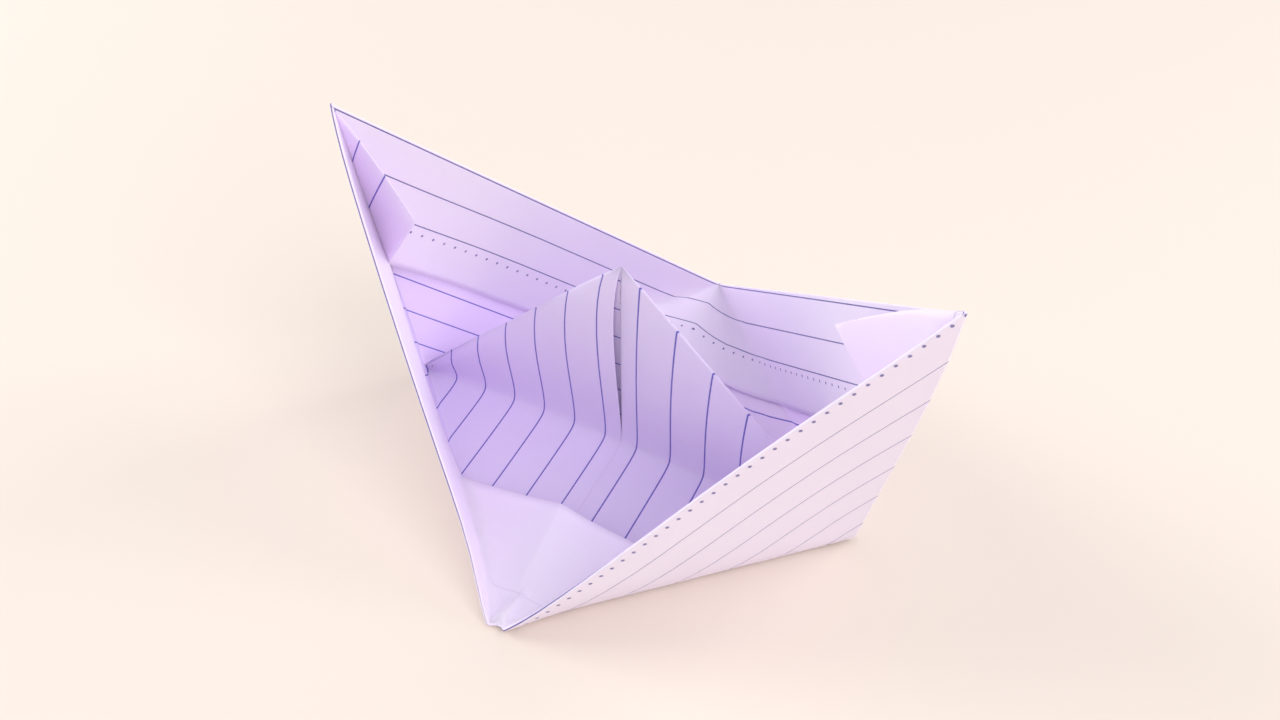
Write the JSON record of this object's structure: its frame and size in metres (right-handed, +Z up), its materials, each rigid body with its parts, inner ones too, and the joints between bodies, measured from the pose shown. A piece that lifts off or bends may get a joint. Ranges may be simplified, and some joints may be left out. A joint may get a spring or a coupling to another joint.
{
  "type": "paper boat",
  "caption": "Boat folded from one ruled sheet of paper, with two raised pointed ends, a standing peak in the middle, turned-in brims and one side spread flat.",
  "frame": {"origin": "bottom centre of the boat's box, on the surface that it stands on", "axes": "+X along the keel from bow to stern, -Y towards the side that is spread flat, +Z up"},
  "size_m": [0.1102, 0.0947, 0.0673],
  "materials": {
    "page": "matte uncoated writing paper with ruled lines"
  },
  "bodies": {
    "root": {"paper_boat": "page"}
  },
  "joints": []
}
